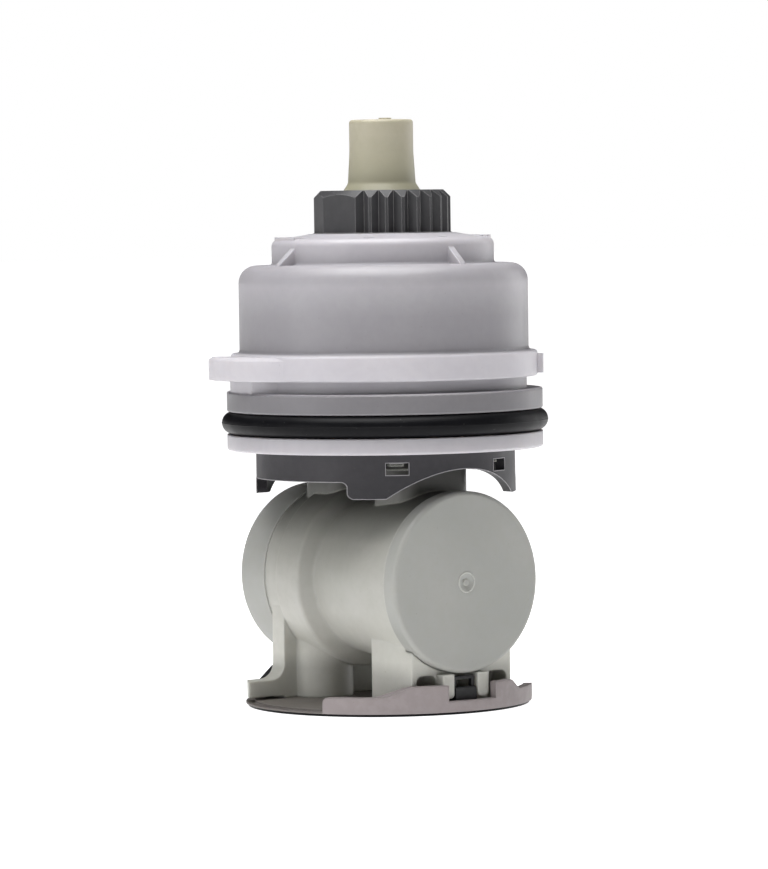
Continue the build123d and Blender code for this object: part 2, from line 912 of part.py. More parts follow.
def cap_o_rings():
    near_level = -(cap_plug_end + near_barrel_end) / 2
    far_level = (cap_plug_end + far_barrel_end) / 2
    levels = (near_level, far_level)
    return [along_barrel(o_ring(cap_ring_centre(), cap_ring_section, level)) for level in levels]


def liner_ring_centre():
    return barrel_bore - face_gap - liner_ring_section


def liner_ring_levels():
    return (-liner_ring_place, 0, liner_ring_place)


def liner_ports():
    half = port_width / 2
    group = None
    for side in (-1, 1):
        y0 = min(side * port_start, side * port_end)
        y1 = max(side * port_start, side * port_end)
        slot = block(-half, half, y0, y1, -20, 20)
        group = slot if group is None else group + slot
    return Pos(0, 0, barrel_axis) * group


def balance_liner():
    half = liner_length / 2
    body = tube(liner_radius, liner_bore, -half, half)
    for level in liner_ring_levels():
        body -= seal_groove(liner_radius, liner_ring_centre(), liner_ring_section, level)
    return along_barrel(body) - liner_ports()


def liner_o_rings():
    centre = liner_ring_centre()
    return [along_barrel(o_ring(centre, liner_ring_section, level)) for level in liner_ring_levels()]


def balance_spool():
    half = spool_length / 2
    body = rod(spool_radius, -half, half)
    waist_end = half - spool_end_land
    for side in (-1, 1):
        low = min(side * spool_centre_land / 2, side * waist_end)
        high = max(side * spool_centre_land / 2, side * waist_end)
        body -= tube(spool_radius + 1, spool_waist, low, high)
        end = side * half
        body -= rod(spool_bore, min(end, side * 1.5), max(end, side * 1.5))
        body -= Pos(0, 0, side * (spool_centre_land / 2 + 1.5)) * Rot(0, 90, 0) * Cylinder(0.8, 20)
    return along_barrel(body)


# ---- base ----
def inlet_holes(radius, low, high):
    group = None
    for side in (-1, 1):
        hole = rod(radius, low, high, inlet_x(side), side * inlet_place)
        group = hole if group is None else group + hole
    return group


def base_seal():
    return rod(seal_radius, 0, seal_thickness) - inlet_holes(inlet_seal_radius + seat_gap, -1, 2)


def base_plate():
    body = rod(base_radius, seal_thickness, base_floor)
    body -= tube(base_radius + 1, step_radius, base_floor - step_height, base_floor + 1)
    low = base_floor - step_height
    body += sector(wall_inner_radius, base_radius, -wall_left_angle, wall_right_angle, low, wall_height)
    body += raised_wall()
    notch_left = latch_offset - notch_half_width
    notch_right = latch_offset + notch_half_width
    body -= block(notch_left, notch_right, -base_radius - 1, -18, notch_bottom, 9)
    for side in (-1, 1):
        body -= wall_end_round(side)
    return body - inlet_holes(inlet_seal_radius + seat_gap, -1, 2)


def raised_wall():
    # The middle of the wall stands higher and slopes down at both ends.
    left_top = -base_radius * sin_of(raised_left_angle)
    left_foot = -base_radius * sin_of(raised_left_angle + left_ramp_angle)
    right_top = base_radius * sin_of(raised_right_angle)
    right_foot = base_radius * sin_of(raised_right_angle + right_ramp_angle)
    low = base_floor - step_height
    outline = FilletPolyline(
        (left_foot - 2, low), (right_foot + 2, low),
        (right_foot + 2, wall_height), (right_foot, wall_height), (right_top, wall_raised_height),
        (left_top, wall_raised_height), (left_foot, wall_height), (left_foot - 2, wall_height),
        radius=[0, 0, 0, 2.5, 0.5, 4.0, 4.0, 0],
        close=True,
    )
    slab = Pos(0, -base_radius - 1, 0) * extrude(Plane.XZ * make_face(outline), 12, dir=(0, 1, 0))
    return slab & tube(base_radius, wall_inner_radius, low, wall_raised_height)


def wall_end_round(side):
    # Rounds the upper corner of each end of the wall.
    radius = 0.9
    corner = block(-radius, radius + 1, -base_radius - 1, -wall_inner_radius + 1, 0, radius + 2)
    drum = Pos(-radius, -base_radius, 0) * Rot(90, 0, 0) * Cylinder(radius, 8)
    cutter = Pos(0, 0, wall_height - radius) * (corner - drum - block(-9, -radius, -30, 30, 0, 9))
    if side < 0:
        cutter = mirror(cutter, Plane.YZ)
    angle = wall_right_angle if side > 0 else -wall_left_angle
    return Rot(0, 0, angle) * cutter


def front_latch():
    half = latch_half_width
    front = -prong_front
    body = block(-half, half, front, front + prong_depth, base_floor, 3.9)
    frame = block(-half, half, front + 0.6, front + 1.4, 3.9, latch_top)
    frame -= block(-half + 0.5, half - 0.5, front, front + 3, 3.9, latch_top - 0.5)
    return Pos(latch_offset, 0, 0) * (body + frame)


def rear_latch():
    y0 = foot_outer
    outline = [
        (-brace_half_width, base_floor), (brace_half_width, base_floor),
        (brace_half_width, base_floor + 1.2), (brace_top_half_width, brace_top),
        (-brace_top_half_width, brace_top), (-brace_half_width, base_floor + 1.2),
    ]
    body = prism_y(outline, y0, y0 + brace_thickness)
    body -= tube(base_radius * 3, base_radius - 0.5, 0, 9)
    return body - rod(riser_radius + seat_gap, 0, 9, inlet_x(1), inlet_place)


def inlet_seals():
    seals = []
    for side in (-1, 1):
        x = inlet_x(side)
        seals.append(tube(inlet_seal_radius, inlet_bore, 0, inlet_seal_top, x, side * inlet_place))
    return seals


# ---- small maths ----
def radians_of(degrees):
    return degrees * 3.141592653589793 / 180


def cos_of(degrees):
    return Vector(1, 0, 0).rotate(Axis.Z, degrees).X


def sin_of(degrees):
    return Vector(1, 0, 0).rotate(Axis.Z, degrees).Y


# ---- writing ----
def write(name, shape):
    solids = shape if isinstance(shape, list) else [shape]
    if len(solids) > 1:
        export_step(Compound(children=[Part(solid.wrapped) for solid in solids]), f"parts/{name}.step")
    else:
        export_step(solids[0], f"parts/{name}.step")


def main():
    os.makedirs("parts", exist_ok=True)
    pieces = {
        "flow_stem": flow_stem,
        "stem_o_rings": stem_o_rings,
        "temperature_sleeve": temperature_sleeve,
        "sleeve_o_ring": sleeve_o_ring,
        "thrust_washer": thrust_washer,
        "bonnet": bonnet,
        "body_o_ring": body_o_ring,
        "flow_disc": flow_disc,
        "temperature_disc": temperature_disc,
        "fixed_disc": fixed_disc,
        "port_gasket": port_gasket,
        "plug_o_ring": plug_o_ring,
        "lower_collar": lower_collar,
        "neck_gasket": neck_gasket,
        "balance_housing": balance_housing,
        "near_end_cap": near_end_cap,
        "far_end_cap": far_end_cap,
        "cap_o_rings": cap_o_rings,
        "balance_liner": balance_liner,
        "liner_o_rings": liner_o_rings,
        "balance_spool": balance_spool,
        "inlet_seals": inlet_seals,
        "base_plate": base_plate,
        "base_seal": base_seal,
        "front_latch": front_latch,
        "rear_latch": rear_latch,
    }
    for name, make in pieces.items():
        write(name, make())


main()
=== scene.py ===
import bpy
import json
import math
from mathutils import Matrix, Vector


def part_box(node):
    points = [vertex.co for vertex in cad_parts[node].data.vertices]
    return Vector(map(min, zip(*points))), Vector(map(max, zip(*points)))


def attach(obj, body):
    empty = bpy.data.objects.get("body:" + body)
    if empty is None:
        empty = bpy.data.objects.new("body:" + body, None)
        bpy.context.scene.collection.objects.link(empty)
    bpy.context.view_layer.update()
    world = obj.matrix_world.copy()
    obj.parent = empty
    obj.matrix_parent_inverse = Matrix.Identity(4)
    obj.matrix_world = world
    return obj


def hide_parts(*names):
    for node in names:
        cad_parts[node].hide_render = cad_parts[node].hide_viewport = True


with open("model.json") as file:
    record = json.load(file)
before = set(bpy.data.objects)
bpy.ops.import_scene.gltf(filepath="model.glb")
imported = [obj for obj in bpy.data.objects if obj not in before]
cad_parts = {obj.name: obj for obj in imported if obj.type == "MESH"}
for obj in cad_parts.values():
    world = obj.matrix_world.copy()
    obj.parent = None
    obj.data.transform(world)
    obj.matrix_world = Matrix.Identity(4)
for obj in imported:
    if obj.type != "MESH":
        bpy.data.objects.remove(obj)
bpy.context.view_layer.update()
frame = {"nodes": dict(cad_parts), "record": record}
nodes = frame["nodes"]

# the camera stands level with the toothed ring and looks slightly down
cameraLook = {
    "distance": 0.747,
    "bearing": -37.0,       # degrees round the stem axis from -Y
    "height": 0.0773,
    "tiltDown": 2.695,      # degrees
    "lean": 0.8,            # the whole view leans a little
    "aside": -0.0002,
    "lens": 197.6,
    "sensor": 36.0,
    "farClip": 20.0,
}

# a soft box overhead, one on each side, a weak one low in front, and a pale room
lightLook = {
    "skylight": {"strength": 0.75, "spread": 50.0, "tilt": (-4.0, -10.0)},
    "boxes": {
        "overhead": {"size": (0.34, 0.34), "at": (-0.05, -0.02, 0.38), "power": 1.8},
        "left": {"size": (0.35, 0.4), "at": (-0.66, 0.06, 0.03), "power": 1.15},
        "right": {"size": (0.35, 0.5), "at": (0.62, 0.02, 0.10), "power": 0.9},
        "front": {"size": (0.6, 0.3), "at": (-0.70, -0.60, 0.0), "power": 0.18},
    },
    "aim": (0.0, 0.0, 0.045),
    "room": 0.03,
}
floorLook = {
    "halfSize": 6.0, "drop": 0.00005, "shade": 0.5, "roughness": 0.9, "glow": 0.95, "seenGlow": 1.0,
}


def placeCamera(look):
    angle = math.radians(look["bearing"])
    back = Vector((math.sin(angle), -math.cos(angle), 0.0))
    side = Vector((math.cos(angle), math.sin(angle), 0.0))
    data = bpy.data.cameras.new("viewCamera")
    data.lens = look["lens"]
    data.sensor_width = look["sensor"]
    data.clip_end = look["farClip"]
    camera = bpy.data.objects.new("viewCamera", data)
    bpy.context.scene.collection.objects.link(camera)
    place = back * look["distance"] + side * look["aside"]
    place.z = look["height"]
    turn = Matrix.Rotation(angle, 4, "Z") @ Matrix.Rotation(math.radians(90.0 - look["tiltDown"]), 4, "X")
    roll = Matrix.Rotation(math.radians(-look["lean"]), 4, "Z")
    camera.matrix_world = Matrix.Translation(place) @ turn @ roll
    bpy.context.scene.camera = camera


def softBox(name, look, aim):
    data = bpy.data.lights.new(name, "AREA")
    data.shape = "RECTANGLE"
    data.size, data.size_y = look["size"]
    data.energy = look["power"]
    lamp = bpy.data.objects.new(name, data)
    bpy.context.scene.collection.objects.link(lamp)
    lamp.location = look["at"]
    lamp.rotation_euler = (Vector(aim) - Vector(look["at"])).to_track_quat("-Z", "Y").to_euler()


def skylight(look):
    data = bpy.data.lights.new("skylight", "SUN")
    data.energy = look["strength"]
    data.angle = math.radians(look["spread"])
    lamp = bpy.data.objects.new("skylight", data)
    bpy.context.scene.collection.objects.link(lamp)
    lamp.rotation_euler = [math.radians(turn) for turn in look["tilt"]] + [0.0]


def studio(look):
    skylight(look["skylight"])
    for name, box in look["boxes"].items():
        softBox(name + "Box", box, look["aim"])
    world = bpy.data.worlds.new("paleRoom")
    world.use_nodes = True
    tree = world.node_tree
    sky = tree.nodes["Background"]
    sky.inputs["Color"].default_value = (1.0, 1.0, 1.0, 1.0)
    seen = tree.nodes.new("ShaderNodeLightPath")
    level = tree.nodes.new("ShaderNodeMapRange")       # white to look at, dim as a light
    level.inputs["To Min"].default_value = look["room"]
    level.inputs["To Max"].default_value = 1.0
    tree.links.new(seen.outputs["Is Camera Ray"], level.inputs["Value"])
    tree.links.new(level.outputs["Result"], sky.inputs["Strength"])
    bpy.context.scene.world = world
    bpy.context.scene.view_settings.view_transform = "Standard"


def makeFloor(look):
    size = look["halfSize"]
    mesh = bpy.data.meshes.new("paleFloor")
    corners = [(-size, -size, 0), (size, -size, 0), (size, size, 0), (-size, size, 0)]
    mesh.from_pydata(corners, [], [(0, 1, 2, 3)])
    floor = bpy.data.objects.new("paleFloor", mesh)
    bpy.context.scene.collection.objects.link(floor)
    floor.location.z = -look["drop"]
    paint = bpy.data.materials.new("palePaper")
    paint.use_nodes = True
    shader = paint.node_tree.nodes["Principled BSDF"]
    shader.inputs["Base Color"].default_value = (look["shade"],) * 3 + (1.0,)
    shader.inputs["Roughness"].default_value = look["roughness"]
    shader.inputs["Emission Color"].default_value = (1.0, 1.0, 1.0, 1.0)
    seen = paint.node_tree.nodes.new("ShaderNodeLightPath")
    level = paint.node_tree.nodes.new("ShaderNodeMapRange")       # a lit paper, so no horizon shows
    level.inputs["To Min"].default_value = look["glow"]
    level.inputs["To Max"].default_value = look["seenGlow"]
    paint.node_tree.links.new(seen.outputs["Is Camera Ray"], level.inputs["Value"])
    paint.node_tree.links.new(level.outputs["Result"], shader.inputs["Emission Strength"])
    mesh.materials.append(paint)


placeCamera(cameraLook)
studio(lightLook)
makeFloor(floorLook)
print("camera, light and floor ready")


def toLinear(shade):
    # 0 to 255 screen colour to the shader's own scale
    def one(v):
        v = v / 255.0
        return v / 12.92 if v <= 0.04045 else ((v + 0.055) / 1.055) ** 2.4
    return tuple(one(v) for v in shade) + (1.0,)


class Sheet:
    # a small helper that wires one material's nodes
    def __init__(self, name):
        self.material = bpy.data.materials.new(name)
        self.material.use_nodes = True
        self.tree = self.material.node_tree
        self.shader = self.tree.nodes["Principled BSDF"]
        self.where = self.tree.nodes.new("ShaderNodeTexCoord").outputs["Object"]

    def add(self, kind, **settings):
        node = self.tree.nodes.new(kind)
        for key, value in settings.items():
            setattr(node, key, value)
        return node

    def link(self, source, target):
        self.tree.links.new(source, target)

    def noise(self, scale, detail=4.0, roughness=0.55, stretch=None):
        node = self.add("ShaderNodeTexNoise")
        node.inputs["Scale"].default_value = scale
        node.inputs["Detail"].default_value = detail
        node.inputs["Roughness"].default_value = roughness
        if stretch:
            mapping = self.add("ShaderNodeMapping")
            mapping.inputs["Scale"].default_value = stretch
            self.link(self.where, mapping.inputs["Vector"])
            self.link(mapping.outputs["Vector"], node.inputs["Vector"])
        else:
            self.link(self.where, node.inputs["Vector"])
        return node.outputs["Fac"]

    def ramp(self, source, low, high):
        node = self.add("ShaderNodeMapRange")
        node.inputs["From Min"].default_value = low
        node.inputs["From Max"].default_value = high
        self.link(source, node.inputs["Value"])
        return node.outputs["Result"]

    def sums(self, operation, first, second):
        node = self.add("ShaderNodeMath", operation=operation)
        for socket, value in zip(node.inputs, (first, second)):
            if isinstance(value, (int, float)):
                socket.default_value = value
            else:
                self.link(value, socket)
        return node.outputs[0]

    def blend(self, factor, first, second, kind="MIX"):
        node = self.add("ShaderNodeMix", data_type="RGBA", blend_type=kind)
        if isinstance(factor, (int, float)):
            node.inputs[0].default_value = factor
        else:
            self.link(factor, node.inputs[0])
        for socket, value in ((node.inputs[6], first), (node.inputs[7], second)):
            if isinstance(value, tuple):
                socket.default_value = value
            else:
                self.link(value, socket)
        return node.outputs[2]

    def height(self):
        split = self.add("ShaderNodeSeparateXYZ")
        self.link(self.where, split.inputs[0])
        return split.outputs["Z"]

    def paintedLightShadeTone(self, paintedLightShadeBands):
        # painted light and shade: a grey multiplier that changes with height: (millimetres, tone) stops
        low, high = paintedLightShadeBands[0][0], paintedLightShadeBands[-1][0]
        level = self.ramp(self.height(), low / 1000.0, high / 1000.0)
        ramp = self.add("ShaderNodeValToRGB")
        self.link(level, ramp.inputs[0])
        stops = ramp.color_ramp.elements
        for place, tone in paintedLightShadeBands[1:-1]:
            stops.new((place - low) / (high - low)).color = (tone, tone, tone, 1.0)
        for stop, (place, tone) in ((stops[0], paintedLightShadeBands[0]), (stops[-1], paintedLightShadeBands[-1])):
            stop.color = (tone, tone, tone, 1.0)
        return ramp.outputs[0]

    def openFloor(self, floor):
        # 1 on the base's thin floor where no wall stands in front of it
        split = self.add("ShaderNodeSeparateXYZ")
        self.link(self.where, split.inputs[0])
        low = self.ramp(split.outputs["Z"], *floor["level"])
        behind = self.ramp(split.outputs["Y"], *floor["behind"])
        return self.sums("MULTIPLY", low, behind)

    def edges(self, radius, samples):
        # 0 on flat ground, rising towards 1 on an edge; it marks edge wear and a painted edge highlight
        bevel = self.add("ShaderNodeBevel", samples=samples)
        bevel.inputs["Radius"].default_value = radius
        plain = self.add("ShaderNodeNewGeometry")
        dot = self.add("ShaderNodeVectorMath", operation="DOT_PRODUCT")
        self.link(bevel.outputs["Normal"], dot.inputs[0])
        self.link(plain.outputs["Normal"], dot.inputs[1])
        return self.sums("SUBTRACT", 1.0, dot.outputs["Value"])

    def bump(self, layers, soften, samples):
        # several (height source, strength, depth) layers over softened edges
        bevel = self.add("ShaderNodeBevel", samples=samples)
        bevel.inputs["Radius"].default_value = soften
        normal = bevel.outputs["Normal"]
        for source, strength, depth in layers:
            node = self.add("ShaderNodeBump")
            node.inputs["Strength"].default_value = strength
            node.inputs["Distance"].default_value = depth
            self.link(source, node.inputs["Height"])
            self.link(normal, node.inputs["Normal"])
            normal = node.outputs["Normal"]
        self.link(normal, self.shader.inputs["Normal"])


def mouldedPlastic(name, look):
    # cloudy colour, dust specks, painted light and shade by height, lighter edges (edge wear and a painted
    # edge highlight), fine grain
    sheet = Sheet(name)
    clouds = sheet.ramp(sheet.noise(look["cloudScale"], look["cloudDetail"]), *look["cloudSpan"])
    colour = sheet.blend(clouds, toLinear(look["colour"]), toLinear(look["cloudColour"]))
    mottle = sheet.ramp(sheet.noise(look["mottleScale"], look["fineDetail"]), *look["mottleSpan"])
    mottle = sheet.sums("MULTIPLY", mottle, look["mottle"])
    colour = sheet.blend(mottle, colour, toLinear(look["mottleColour"]))
    dust = sheet.noise(look["speckScale"], look["speckDetail"], look["speckRoughness"])
    speck = sheet.ramp(dust, look["speckFrom"], look["speckFrom"] + look["speckSpan"])
    colour = sheet.blend(sheet.sums("MULTIPLY", speck, look["speck"]), colour, toLinear(look["speckColour"]))
    # painted light and shade: the colour is multiplied by a tone that changes with height
    if look.get("paintedLightShadeBands"):
        colour = sheet.blend(1.0, colour, sheet.paintedLightShadeTone(look["paintedLightShadeBands"]), "MULTIPLY")
    if look.get("lowColour"):
        low, high = look["lowFrom"]
        drop = sheet.ramp(sheet.height(), high, low)
        colour = sheet.blend(drop, colour, toLinear(look["lowColour"]))
    if look.get("shadedFloor"):
        floor = look["shadedFloor"]
        colour = sheet.blend(sheet.openFloor(floor), colour, toLinear(floor["colour"]))
    # edge wear and a painted edge highlight: edges are lightened towards the edge colour
    wearAndHighlight = sheet.ramp(sheet.edges(look["edgeWidth"], look["edgeSamples"]), *look["edgeSpan"])
    colour = sheet.blend(sheet.sums("MULTIPLY", wearAndHighlight, look["edge"]), colour, toLinear(look["edgeColour"]))
    sheet.link(colour, sheet.shader.inputs["Base Color"])
    rough = sheet.ramp(sheet.noise(look["cloudScale"] * look["roughRatio"]), *look["roughSpan"])
    spread = sheet.sums("MULTIPLY", rough, look["roughSpread"])
    sheet.link(sheet.sums("ADD", spread, look["roughness"]), sheet.shader.inputs["Roughness"])
    if look["glow"] > 0.0:
        sheet.shader.inputs["Subsurface Weight"].default_value = look["glow"]
        sheet.shader.inputs["Subsurface Radius"].default_value = look["glowTint"]
        sheet.shader.inputs["Subsurface Scale"].default_value = look["glowDepth"]
    sheet.shader.inputs["IOR"].default_value = look["ior"]
    sheet.shader.inputs["Metallic"].default_value = look["metallic"]
    grain = sheet.noise(look["grainScale"], look["fineDetail"])
    flow = sheet.noise(look["flowScale"], look["fineDetail"], look["flowRoughness"], look["flowStretch"])
    layers = [(flow, look["flow"], look["flowDepth"]), (grain, look["grain"], look["grainDepth"])]
    sheet.bump(layers, look["soften"], look["softSamples"])
    return sheet.material


# what all the finishes share; colours are 0 to 255, widths and depths are metres
plasticBase = {
    "cloudScale": 60.0, "cloudDetail": 5.0, "cloudSpan": (0.35, 0.65),
    "mottle": 0.25, "mottleScale": 700.0, "mottleSpan": (0.42, 0.62), "fineDetail": 3.0,
    "speck": 0.5, "speckScale": 2600.0, "speckDetail": 2.0, "speckRoughness": 0.5, "speckFrom": 0.74,
    "speckSpan": 0.03,
    "edge": 0.35, "edgeWidth": 0.0003, "edgeSpan": (0.02, 0.22), "edgeSamples": 6,
    "roughness": 0.36, "roughSpread": 0.16, "roughRatio": 3.0, "roughSpan": (0.2, 0.8),
    "glow": 0.0, "glowDepth": 0.002, "glowTint": (1.0, 0.9, 0.8), "ior": 1.47, "metallic": 0.0,
    "grain": 0.18, "grainScale": 2400.0, "grainDepth": 0.00006,
    "flow": 0.10, "flowScale": 90.0, "flowRoughness": 0.5, "flowStretch": (1.0, 1.0, 0.35),
    "flowDepth": 0.0004, "soften": 0.00025, "softSamples": 8,
}

bonnetLook = dict(
    plasticBase, colour=(205, 202, 207), cloudColour=(198, 195, 201), mottleColour=(192, 188, 195),
    speckColour=(160, 152, 152), edgeColour=(228, 226, 232), glow=0.35, glowDepth=0.003, roughness=0.32,
    # painted light and shade by height: the flange lighter, the land under it dark, the body lighter towards
    # the top
    paintedLightShadeBands=[(40.0, 0.85), (42.5, 0.72), (46.0, 0.72), (46.5, 0.34), (49.1, 0.34), (49.4, 0.74), (51.1, 0.74),
           (51.3, 0.96), (55.1, 0.96), (55.4, 0.46), (61.0, 0.52), (65.5, 0.70), (68.0, 0.60), (71.0, 0.80),
           (74.0, 0.84)],
)
stemLook = dict(
    plasticBase, colour=(181, 175, 156), cloudColour=(171, 166, 146), mottleColour=(162, 157, 138),
    speckColour=(150, 140, 118), edgeColour=(222, 218, 200), glow=0.3, glowDepth=0.002,
    lowColour=(158, 155, 133), lowFrom=(0.080, 0.089), roughness=0.38,
)
# the gear's pale edge colour paints the highlight on the edges of the tooth lands
gearLook = dict(
    plasticBase, colour=(63, 62, 64), cloudColour=(56, 56, 58), mottleColour=(71, 70, 72),
    speckColour=(110, 109, 107), edgeColour=(165, 164, 164), edge=0.9, edgeWidth=0.0002, roughness=0.42,
    grain=0.35, soften=0.00012,
)
# the collar's pale edge colour paints the highlight along its edges
collarLook = dict(
    plasticBase, colour=(47, 45, 49), cloudColour=(42, 41, 45), mottleColour=(55, 53, 57),
    speckColour=(88, 84, 84), edgeColour=(150, 148, 150), edge=0.7, edgeWidth=0.0002, roughness=0.44,
    grain=0.3, soften=0.00015,
)
barrelLook = dict(
    plasticBase, colour=(179, 178, 172), cloudColour=(171, 171, 164), mottleColour=(165, 165, 157),
    # painted edge highlight: the wide pale edge colour lightens the rims of the barrel and the caps
    speckColour=(140, 136, 122), edgeColour=(214, 214, 206), edge=0.7, edgeWidth=0.0007, glow=0.25,
    glowDepth=0.0015, roughness=0.34,
    soften=0.0005,
    # painted shade dark under the collar, and painted light brighter low down where the floor lights the
    # barrel
    paintedLightShadeBands=[(1.2, 1.35), (3.6, 1.25), (5.5, 1.15), (8.0, 1.5), (12.0, 1.35), (17.0, 1.06),
           (26.0, 0.98), (29.5, 0.66), (32.0, 0.34), (36.5, 0.14)],
)
capLook = dict(
    barrelLook, colour=(173, 173, 169), cloudColour=(166, 167, 163), soften=0.00025,
    # painted light and shade by height, here nearly flat: a little darker below 30 mm
    paintedLightShadeBands=[(5.0, 0.95), (30.0, 0.95), (34.0, 1.0)],
)
baseLook = dict(
    plasticBase, colour=(150, 141, 141), cloudColour=(142, 134, 134), mottleColour=(158, 149, 150),
    speckColour=(112, 102, 99), edgeColour=(176, 167, 168), mottle=0.5, roughness=0.5, grain=0.4,
    shadedFloor={"colour": (104, 99, 94), "level": (0.00100, 0.00092), "behind": (-0.0100, -0.0096)},
)
latchLook = dict(
    plasticBase, colour=(34, 34, 36), cloudColour=(28, 28, 30), mottleColour=(42, 42, 44),
    speckColour=(80, 78, 76), edgeColour=(70, 70, 72), edge=0.5, roughness=0.4,
)
rubberLook = dict(
    plasticBase, colour=(15, 15, 18), cloudColour=(11, 11, 14), mottleColour=(22, 22, 25),
    speckColour=(95, 93, 93), edgeColour=(26, 26, 29), edge=0.1, roughness=0.34, roughSpread=0.18,
    grain=0.25, soften=0.0001, ior=1.22,
)
ceramicLook = dict(
    plasticBase, colour=(236, 234, 228), cloudColour=(228, 226, 220), mottleColour=(220, 218, 212),
    speckColour=(160, 156, 150), edgeColour=(246, 244, 240), roughness=0.18, grain=0.05, flow=0.02,
)
steelLook = dict(
    plasticBase, colour=(190, 190, 190), cloudColour=(176, 176, 178), mottleColour=(200, 200, 200),
    speckColour=(120, 118, 114), edgeColour=(226, 226, 226), roughness=0.25, flow=0.02, metallic=1.0,
)
washerLook = dict(ceramicLook, roughness=0.4)
# the collar's flash bead: moulding flash, coloured pale as a painted highlight along the collar's edges
flashHighlightLook = dict(
    collarLook, colour=(172, 169, 172), cloudColour=(160, 158, 162), mottleColour=(140, 138, 142),
)
baseFlashLook = dict(baseLook, colour=(196, 186, 186), cloudColour=(184, 174, 174))

finishLooks = {
    "flashHighlightPlastic": flashHighlightLook, "baseFlashPlastic": baseFlashLook, "bonnetPlastic": bonnetLook,
    "stemPlastic": stemLook, "gearPlastic": gearLook, "collarPlastic": collarLook,
    "barrelPlastic": barrelLook, "capPlastic": capLook, "basePlastic": baseLook,
    "latchPlastic": latchLook, "sealRubber": rubberLook, "discCeramic": ceramicLook,
    "linerSteel": steelLook, "washerPlastic": washerLook,
}
finishes = {name: mouldedPlastic(name, look) for name, look in finishLooks.items()}
print("finishes ready")

finishOf = {
    "ivory_stem": "stemPlastic", "dark_gear": "gearPlastic", "bonnet_white": "bonnetPlastic",
    "barrel_ivory": "barrelPlastic", "collar_dark": "collarPlastic", "base_grey": "basePlastic",
    "latch_black": "latchPlastic", "rubber_black": "sealRubber", "ceramic_white": "discCeramic",
    "ceramic_grey": "discCeramic", "liner_steel": "linerSteel", "washer_white": "washerPlastic",
}
for part in frame["record"]["subparts"]:
    cad = nodes[part["node"]]
    finish = finishes[finishOf[part["material_slot"]]]
    if part["node"].endswith("end_cap"):
        finish = finishes["capPlastic"]
    cad.data.materials.clear()
    cad.data.materials.append(finish)
print("finishes on the solids")


class Maker:
    # wires one geometry tree and turns its result into a plain mesh
    def __init__(self, name, sizes):
        self.name = name
        self.tree = bpy.data.node_groups.new(name, "GeometryNodeTree")
        face = self.tree.interface
        face.new_socket("Geometry", in_out="INPUT", socket_type="NodeSocketGeometry")
        self.sockets = {}
        for label, value in sizes.items():
            kind = "NodeSocketInt" if isinstance(value, int) else "NodeSocketFloat"
            self.sockets[label] = face.new_socket(label, in_out="INPUT", socket_type=kind).identifier
        face.new_socket("Geometry", in_out="OUTPUT", socket_type="NodeSocketGeometry")
        self.sizes = sizes
        self.given = self.tree.nodes.new("NodeGroupInput").outputs

    def add(self, kind, inputs=None, **settings):
        node = self.tree.nodes.new(kind)
        for key, value in settings.items():
            setattr(node, key, value)
        for key, value in (inputs or {}).items():
            if isinstance(value, bpy.types.NodeSocket):
                self.tree.links.new(value, node.inputs[key])
            else:
                node.inputs[key].default_value = value
        return node

    def sums(self, operation, first, second=0.0):
        return self.add("ShaderNodeMath", {0: first, 1: second}, operation=operation).outputs[0]

    def both(self, first, second):
        return self.add("FunctionNodeBooleanMath", {0: first, 1: second}, operation="AND").outputs[0]

    def above(self, value, limit):
        return self.add("FunctionNodeCompare", {"A": value, "B": limit}, data_type="FLOAT").outputs[0]

    def ring(self, radius, bead, steps=96, beadSteps=8):
        # a round bead along a circle, flat on XY
        path = self.add("GeometryNodeCurvePrimitiveCircle", {"Resolution": steps, "Radius": radius})
        section = self.add("GeometryNodeCurvePrimitiveCircle", {"Resolution": beadSteps, "Radius": bead})
        return self.sweep(path.outputs["Curve"], section.outputs["Curve"])

    def sweep(self, path, section):
        ends = {"Curve": path, "Profile Curve": section, "Fill Caps": True}
        return self.add("GeometryNodeCurveToMesh", ends).outputs["Mesh"]

    def moved(self, geometry, place, turn=None):
        node = self.add("GeometryNodeTransform", {"Geometry": geometry, "Translation": place})
        if turn:
            node.inputs["Rotation"].default_value = turn
        return node.outputs["Geometry"]

    def raised(self, geometry, level):
        place = self.add("ShaderNodeCombineXYZ", {"Z": level}).outputs[0]
        return self.moved(geometry, place)

    def join(self, *parts):
        node = self.add("GeometryNodeJoinGeometry")
        for part in parts:
            self.tree.links.new(part, node.inputs[0])
        return node.outputs[0]

    def piece(self, geometry, finish, body, base=None):
        real = self.add("GeometryNodeRealizeInstances", {"Geometry": geometry}).outputs[0]
        painted = self.add("GeometryNodeSetMaterial", {"Geometry": real, "Material": finish}).outputs[0]
        smooth = self.add("GeometryNodeSetShadeSmooth", {"Geometry": painted}).outputs[0]
        end = self.tree.nodes.new("NodeGroupOutput")
        self.tree.links.new(smooth, end.inputs[0])
        start = base if base else bpy.data.meshes.new(self.name + "Start")
        maker = bpy.data.objects.new(self.name + "Maker", start)
        bpy.context.scene.collection.objects.link(maker)
        modifier = maker.modifiers.new(self.name, "NODES")
        modifier.node_group = self.tree
        for label, value in self.sizes.items():
            modifier[self.sockets[label]] = value
        bpy.context.view_layer.update()
        graph = bpy.context.evaluated_depsgraph_get()
        mesh = bpy.data.meshes.new_from_object(maker.evaluated_get(graph))
        bpy.data.objects.remove(maker)
        made = bpy.data.objects.new(self.name, mesh)
        bpy.context.scene.collection.objects.link(made)
        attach(made, body)
        print(self.name, "made,", len(mesh.polygons), "faces")
        return made


bodyRingLook = {"steps": 240, "sectionSteps": 40, "seam": 0.00004, "seamBead": 0.00006}


